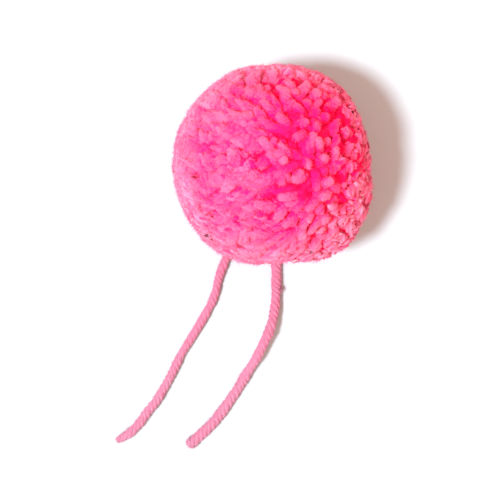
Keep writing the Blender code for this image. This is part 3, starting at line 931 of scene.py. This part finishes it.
tieRoutes = {
    "tieEndLeft": [
        (-0.0047, -0.0095, 0.0177), (-0.0061, -0.0124, 0.0138), (-0.0075, -0.0153, 0.0100),
        (-0.0088, -0.0179, 0.0066), (-0.0096, -0.0196, 0.0043), (-0.0108, -0.0220, 0.0023),
        (-0.0125, -0.0253, 0.0015), (-0.0145, -0.0296, 0.0015), (-0.0164, -0.0338, 0.0015),
        (-0.0179, -0.0382, 0.0015), (-0.0189, -0.0425, 0.0015), (-0.0204, -0.0465, 0.0015),
        (-0.0227, -0.0506, 0.0015), (-0.0250, -0.0547, 0.0015), (-0.0300, -0.0627, 0.0015),
        (-0.0341, -0.0709, 0.0015), (-0.0387, -0.0790, 0.0015), (-0.0419, -0.0831, 0.0015),
        (-0.0447, -0.0869, 0.0015), (-0.0479, -0.0902, 0.0015), (-0.0522, -0.0928, 0.0015),
    ],
    "tieEndRight": [
        (0.0006, -0.0106, 0.0177), (0.0007, -0.0138, 0.0138), (0.0009, -0.0170, 0.0100),
        (0.0010, -0.0199, 0.0066), (0.0011, -0.0218, 0.0043), (0.0013, -0.0245, 0.0023),
        (0.0015, -0.0282, 0.0015), (0.0017, -0.0325, 0.0015), (0.0018, -0.0368, 0.0015),
        (0.0018, -0.0410, 0.0016), (0.0016, -0.0450, 0.0022), (0.0011, -0.0490, 0.0031),
        (0.0003, -0.0528, 0.0041), (-0.0011, -0.0567, 0.0047), (-0.0030, -0.0607, 0.0047),
        (-0.0050, -0.0647, 0.0040), (-0.0076, -0.0689, 0.0026), (-0.0100, -0.0730, 0.0015),
        (-0.0125, -0.0770, 0.0015), (-0.0183, -0.0851, 0.0015), (-0.0222, -0.0892, 0.0015),
        (-0.0279, -0.0944, 0.0015),
    ],
}


def smoothLine(route, steps=12):
    knots = [Vector(point) for point in route]
    before = [knots[0] * 2 - knots[1]] + knots[:-1]
    after = knots[1:] + [knots[-1] * 2 - knots[-2]]
    tangents = [(ahead - behind) / 6 for behind, ahead in zip(before, after)]
    line = [knots[0]]
    for i in range(len(knots) - 1):
        leaves = knots[i] + tangents[i]
        arrives = knots[i + 1] - tangents[i + 1]
        line += geometry.interpolate_bezier(knots[i], leaves, arrives, knots[i + 1], steps + 1)[1:]
    return line


def routeCurve(name, line):
    data = bpy.data.curves.new(name, "CURVE")
    data.dimensions = "3D"
    spline = data.splines.new("POLY")
    spline.points.add(len(line) - 1)
    for point, place in zip(spline.points, line):
        point.co = (*place, 1.0)
    return data


def plyRings(tree, given):
    # the rings that are drawn along the tie, one for each ply
    plies = put(tree, "GeometryNodeJoinGeometry")
    for ply in range(pliesPerYarn):
        angle = math.tau * ply / pliesPerYarn
        inputs = {"Resolution": 9, "Radius": given["Ply Radius"]}
        ring = put(tree, "GeometryNodeCurvePrimitiveCircle", inputs).outputs["Curve"]
        ring = keep(tree, ring, "roundPly", vec(tree, "NORMALIZE", position(tree)), "FLOAT_VECTOR")
        shift = vec(tree, "SCALE", (math.cos(angle), math.sin(angle), 0.0), scale=given["Ply Offset"])
        ring = put(tree, "GeometryNodeTransform", {"Geometry": ring, "Translation": shift})
        tree.links.new(ring.outputs["Geometry"], plies.inputs[0])
    return plies.outputs[0]


def tieThickness(tree, given, factor, uneven):
    thick = calc(tree, "MULTIPLY_ADD", uneven, given["Unevenness"], 1.0)
    flare = curve(tree, factor, [(0.0, 0.9), (0.97, 0.9), (0.985, 0.93), (1.0, 0.8)])
    thick = calc(tree, "MULTIPLY", thick, calc(tree, "DIVIDE", flare, 0.9))
    thick = calc(tree, "MULTIPLY", thick, given["Fullness"])
    taper = calc(tree, "SUBTRACT", 1.0, given["Tapered"])
    return calc(tree, "MULTIPLY", thick, ramp(tree, factor, taper, 1.0, 1.0, given["End Size"]))


def tieTree(values):
    tree, given = newTree("pliedYarn", values)
    inputs = {"Curve": given["Geometry"], "Length": given["Step"]}
    line = put(tree, "GeometryNodeResampleCurve", inputs, mode="LENGTH").outputs["Curve"]
    spline = put(tree, "GeometryNodeSplineParameter").outputs
    uneven = noise(tree, xyz(tree, spline["Length"]), given["Uneven Scale"], 1.0)["Fac"]
    uneven = calc(tree, "SUBTRACT", uneven, 0.5)
    turned = calc(tree, "DIVIDE", spline["Length"], given["Twist Pitch"])
    tilt = calc(tree, "MULTIPLY_ADD", uneven, given["Twist Drift"], calc(tree, "MULTIPLY", turned, math.tau))
    line = put(tree, "GeometryNodeSetCurveTilt", {"Curve": line, "Tilt": tilt}).outputs["Curve"]
    line = keepAll(tree, line, {"alongYarn": turned, "toEnd": spline["Factor"]})
    line = keep(tree, line, "grow", put(tree, "GeometryNodeInputTangent").outputs[0], "FLOAT_VECTOR")
    inputs = {"Curve": line, "Profile Curve": plyRings(tree, given), "Fill Caps": True,
              "Scale": tieThickness(tree, given, spline["Factor"], uneven)}
    mesh = put(tree, "GeometryNodeCurveToMesh", inputs).outputs["Mesh"]
    around = parts(tree, kept(tree, "roundPly", "FLOAT_VECTOR"))
    toEnd = kept(tree, "toEnd")
    run = xyz(tree, around["X"], around["Y"], kept(tree, "alongYarn"))
    mesh = keep(tree, mesh, "yarnRun", run, "FLOAT_VECTOR")
    # painted shade: the tie is painted deeper towards the ball
    looks = {"bloom": ramp(tree, toEnd, 0.96, 1.0, 0.0, 1.0), "tint": 0.5,
             "depthLight": ramp(tree, toEnd, 0.2, 0.8, 0.75, 1.05)}
    mesh = keepAll(tree, mesh, looks)
    place = lumpy(tree, position(tree), given["Lump Scale"], 2.0, given["Lumps"])
    mesh = moved(tree, mesh, aboveTable(tree, place, given["Lowest"]))
    mesh = forget(tree, mesh, "alongYarn", "toEnd", "roundPly")
    endTree(tree, mesh, given["Material"])
    return tree


# build everything

setCamera()
setLight()
print("camera and light are set")

groups = {"twist": twistGroup(), "fibres": fibreGroup()}
yarns = {name: yarnMaterial(name, groups, finish) for name, finish in yarnFinishes.items()}
pinkFuzz = fuzzMaterial("pinkFuzz", groups, yarnColours["bright"], yarnColours["fuzz"])
pinkTieFuzz = fuzzMaterial("pinkTieFuzz", groups, yarnColours["tieBright"], yarnColours["tieFuzz"])
print("materials are ready")

ends = dict(ballValues, Upper=1.0, Material=yarns["pinkYarn"])
endsTree = ballTree(ends)
upperEnds = bakePiece("upperYarnEnds", endsTree, ends, start=gapMesh())
lowerEnds = bakePiece("lowerYarnEnds", endsTree, dict(ends, **lowerValues), start=gapMesh())
middle = dict(middleValues, Material=yarns["pinkYarnMiddle"])
tiedMiddle = bakePiece("tiedMiddle", middleTree(middle), middle)

lines = {name: smoothLine(route) for name, route in tieRoutes.items()}
ties = {}
for name, line in lines.items():
    values = dict(tieValues, **tieShapes[name], Material=yarns["pinkTieYarn"])
    ties[name] = bakePiece(name, tieTree(values), values, start=routeCurve(name + "Route", line))
print("yarn is made")

ballFuzz = []
for name, source in (("upperFuzz", upperEnds), ("softFuzz", upperEnds), ("lowerFuzz", lowerEnds)):
    values = dict(fuzzValues[name], Material=pinkFuzz)
    ballFuzz.append(bakePiece(name, fuzzTree(values), values, start=source.data.copy()))
tieFuzz = {}
for name, tie in ties.items():
    values = dict(fuzzValues["tieFuzz"], Material=pinkTieFuzz)
    tieFuzz[name] = bakePiece(name + "Fuzz", fuzzTree(values), values, start=tie.data.copy())
print("fuzz is made")

setTable()

for piece in [upperEnds, lowerEnds, tiedMiddle, *ballFuzz]:
    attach(piece, "root")
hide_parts("pompom")
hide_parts("pompom")
for name, node in (("tieEndLeft", "tie_end_left"), ("tieEndRight", "tie_end_right")):
    for piece in (ties[name], tieFuzz[name]):
        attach(piece, "root")
    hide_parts(node)
    line = lines[name]
print("every piece is in its place")
